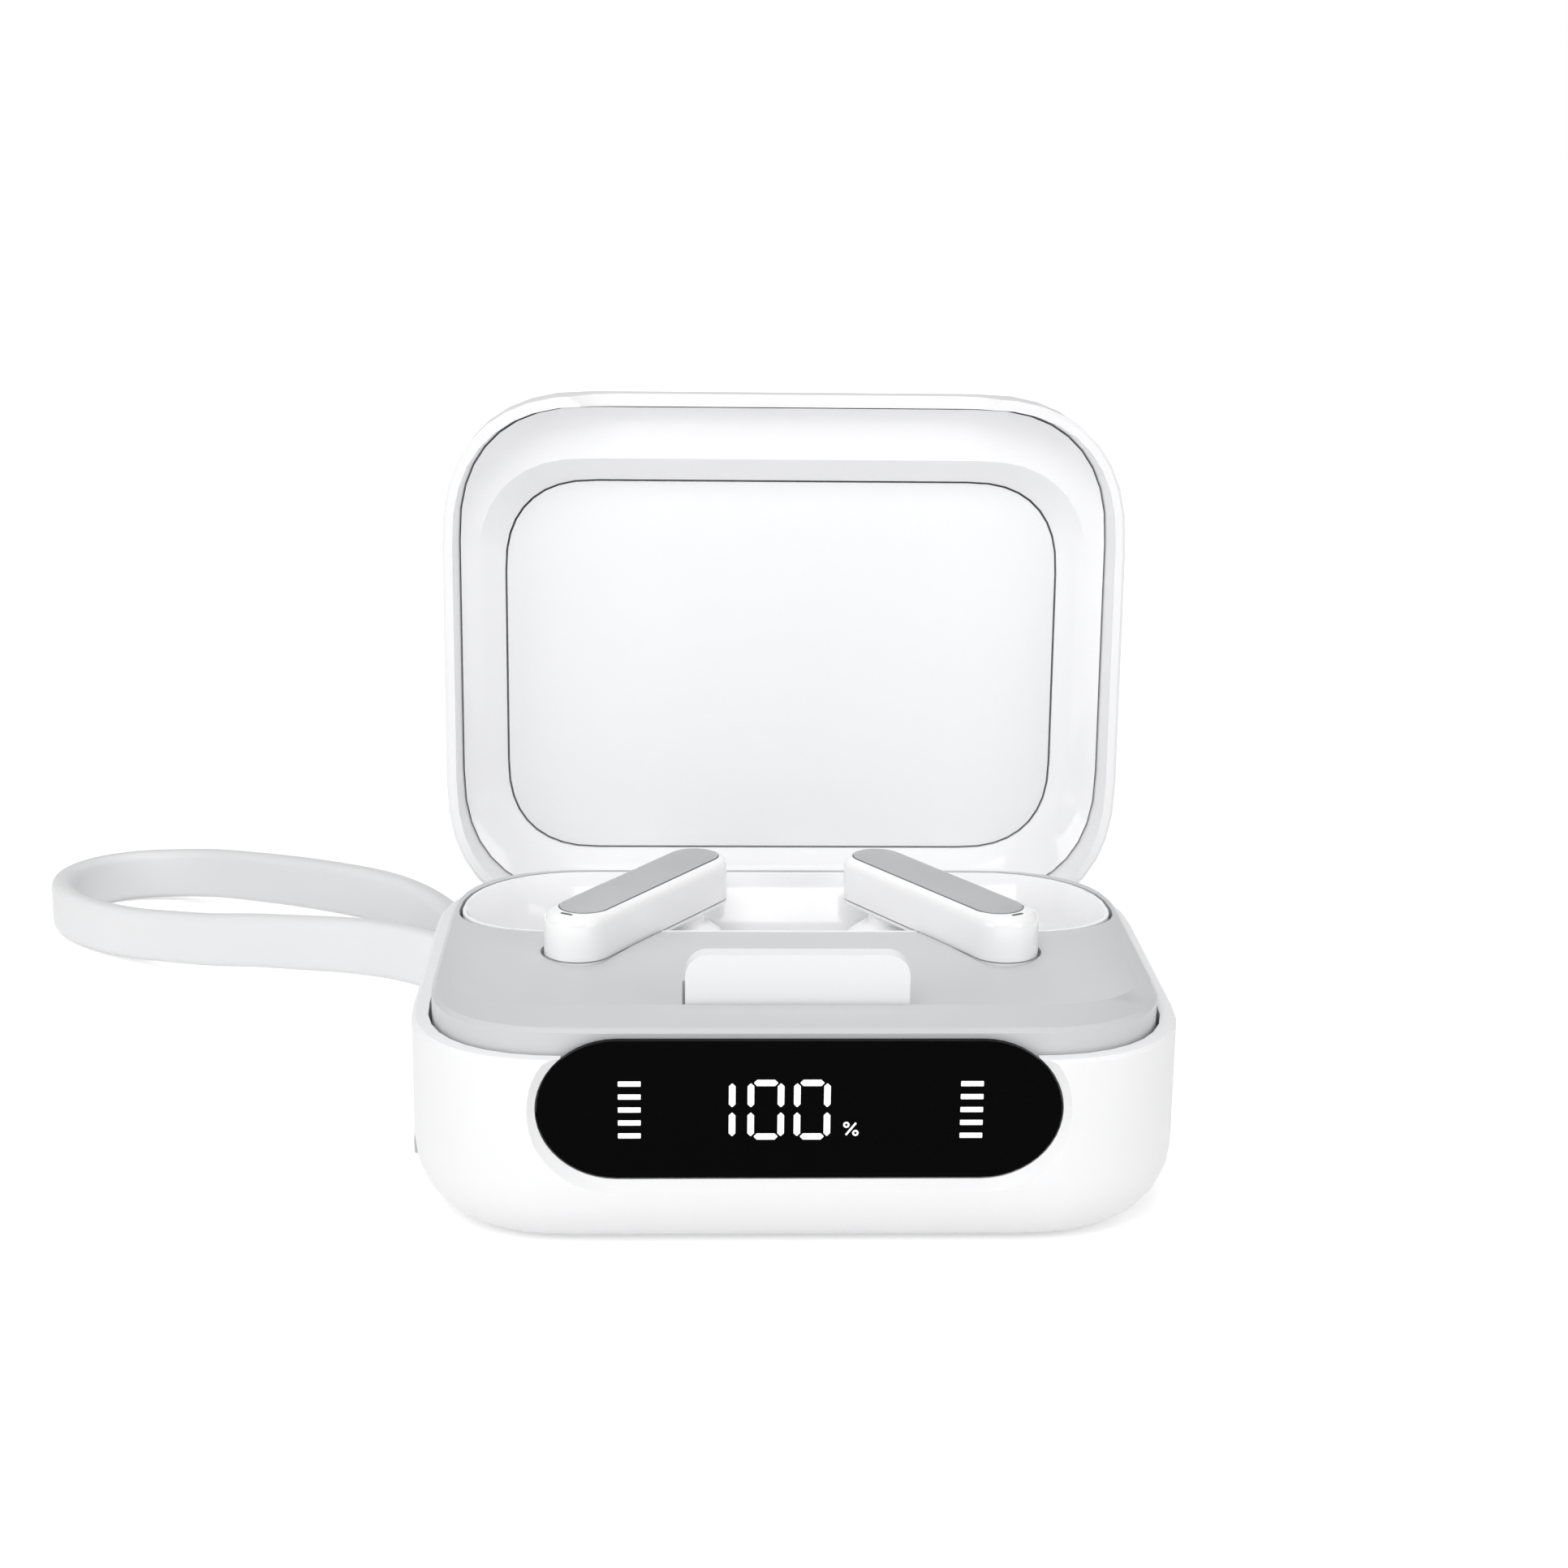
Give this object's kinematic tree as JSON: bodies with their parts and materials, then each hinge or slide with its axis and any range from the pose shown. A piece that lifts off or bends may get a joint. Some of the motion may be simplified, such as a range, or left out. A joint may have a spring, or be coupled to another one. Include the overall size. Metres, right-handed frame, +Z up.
{
  "type": "wireless earbuds case",
  "caption": "Rounded charging case for stem earbuds, shown open, with a cradle tray, dark front display window, fold-down phone stop, side button and wrist strap.",
  "frame": {"origin": "centre of the case's flat bottom face", "axes": "+X to the right seen from the front, +Y to the back where the lid hinges, +Z up"},
  "size_m": [0.1153, 0.1023, 0.0659],
  "materials": {
    "shell_white": "fine sand texture",
    "tray_grey": "satin",
    "gloss_white": "polished",
    "stop_grey": "satin",
    "steel": "satin metal",
    "window_black": "polished dark panel with white display marks",
    "guide_white": "milky light guide",
    "board_green": "circuit board",
    "battery_foil": "foil pouch",
    "foam_black": "soft foam",
    "strap_silicone": "satin silicone",
    "strap_seat": "satin",
    "button_grey": "satin",
    "dark_plastic": "satin",
    "contact_gold": "plated",
    "panel_white": "satin",
    "faceplate_silver": "fine sparkle",
    "ear_tip_silicone": "soft silicone"
  },
  "bodies": {
    "case": {"base_shell": "shell_white", "cradle_tray": "tray_grey", "bud_bowl": "gloss_white", "phone_stop_pin": "steel", "display_window": "window_black", "light_guide": "guide_white", "display_board": "board_green", "main_board": "board_green", "battery_cell": "battery_foil", "battery_foam": "foam_black", "charge_board": "board_green", "usb_socket": "steel", "hinge_pin": "steel", "hinge_spring": "steel", "wrist_strap": "strap_silicone", "strap_anchor": "strap_seat", "strap_pin": "steel", "button_switch": "dark_plastic", "catch_magnet_base": "steel", "hall_sensor": "dark_plastic", "hinge_bracket_left": "strap_seat", "hinge_screw_left": "steel", "pin_block_left": "dark_plastic", "bud_magnet_left": "steel", "hinge_bracket_right": "strap_seat", "hinge_screw_right": "steel", "pin_block_right": "dark_plastic", "bud_magnet_right": "steel"},
    "lid": {"lid_shell": "shell_white", "lid_liner": "gloss_white", "lid_panel": "panel_white", "catch_magnet_lid": "steel"},
    "phone_flap": {"phone_stop": "stop_grey"},
    "button": {"side_button": "button_grey"},
    "bud_left": {"bud_left_stem_shell": "gloss_white", "bud_left_faceplate": "faceplate_silver", "bud_left_inner_shell": "gloss_white", "bud_left_driver": "dark_plastic", "bud_left_nozzle_mesh": "steel", "bud_left_ear_tip": "ear_tip_silicone", "bud_left_battery": "battery_foil", "bud_left_board": "board_green", "bud_left_contact_front": "contact_gold", "bud_left_contact_rear": "contact_gold"},
    "pin_left_front": {"charge_pin_left_front": "contact_gold"},
    "pin_left_rear": {"charge_pin_left_rear": "contact_gold"},
    "bud_right": {"bud_right_stem_shell": "gloss_white", "bud_right_faceplate": "faceplate_silver", "bud_right_inner_shell": "gloss_white", "bud_right_driver": "dark_plastic", "bud_right_nozzle_mesh": "steel", "bud_right_ear_tip": "ear_tip_silicone", "bud_right_battery": "battery_foil", "bud_right_board": "board_green", "bud_right_contact_front": "contact_gold", "bud_right_contact_rear": "contact_gold"},
    "pin_right_front": {"charge_pin_right_front": "contact_gold"},
    "pin_right_rear": {"charge_pin_right_rear": "contact_gold"}
  },
  "joints": [
    {"name": "lid_hinge", "type": "hinge", "parent": "case", "child": "lid", "pos_m": [0, 0.02258, 0.0174], "axis": [1, 0, 0], "range_deg": [0, 90.95]},
    {"name": "phone_stop_fold", "type": "hinge", "parent": "case", "child": "phone_flap", "pos_m": [0, -0.017, 0.017], "axis": [-1, 0, 0], "range_deg": [0, 90]},
    {"name": "side_button_press", "type": "slide", "parent": "case", "child": "button", "axis": [1, 0, 0], "range_m": [0, 0.0005], "stiffness_N_per_m": 400, "springref_m": -0.0004},
    {"name": "charge_pin_left_front_press", "type": "slide", "parent": "case", "child": "pin_left_front", "axis": [0, 0, -1], "range_m": [0, 0.0005], "stiffness_N_per_m": 200, "springref_m": -0.0004},
    {"name": "charge_pin_left_rear_press", "type": "slide", "parent": "case", "child": "pin_left_rear", "axis": [0, 0, -1], "range_m": [0, 0.0005], "stiffness_N_per_m": 200, "springref_m": -0.0004},
    {"name": "bud_left_lift", "type": "slide", "parent": "case", "child": "bud_left", "axis": [0, 0, 1], "range_m": [0, 0.03]},
    {"name": "charge_pin_right_front_press", "type": "slide", "parent": "case", "child": "pin_right_front", "axis": [0, 0, -1], "range_m": [0, 0.0005], "stiffness_N_per_m": 200, "springref_m": -0.0004},
    {"name": "charge_pin_right_rear_press", "type": "slide", "parent": "case", "child": "pin_right_rear", "axis": [0, 0, -1], "range_m": [0, 0.0005], "stiffness_N_per_m": 200, "springref_m": -0.0004},
    {"name": "bud_right_lift", "type": "slide", "parent": "case", "child": "bud_right", "axis": [0, 0, 1], "range_m": [0, 0.03]}
  ]
}
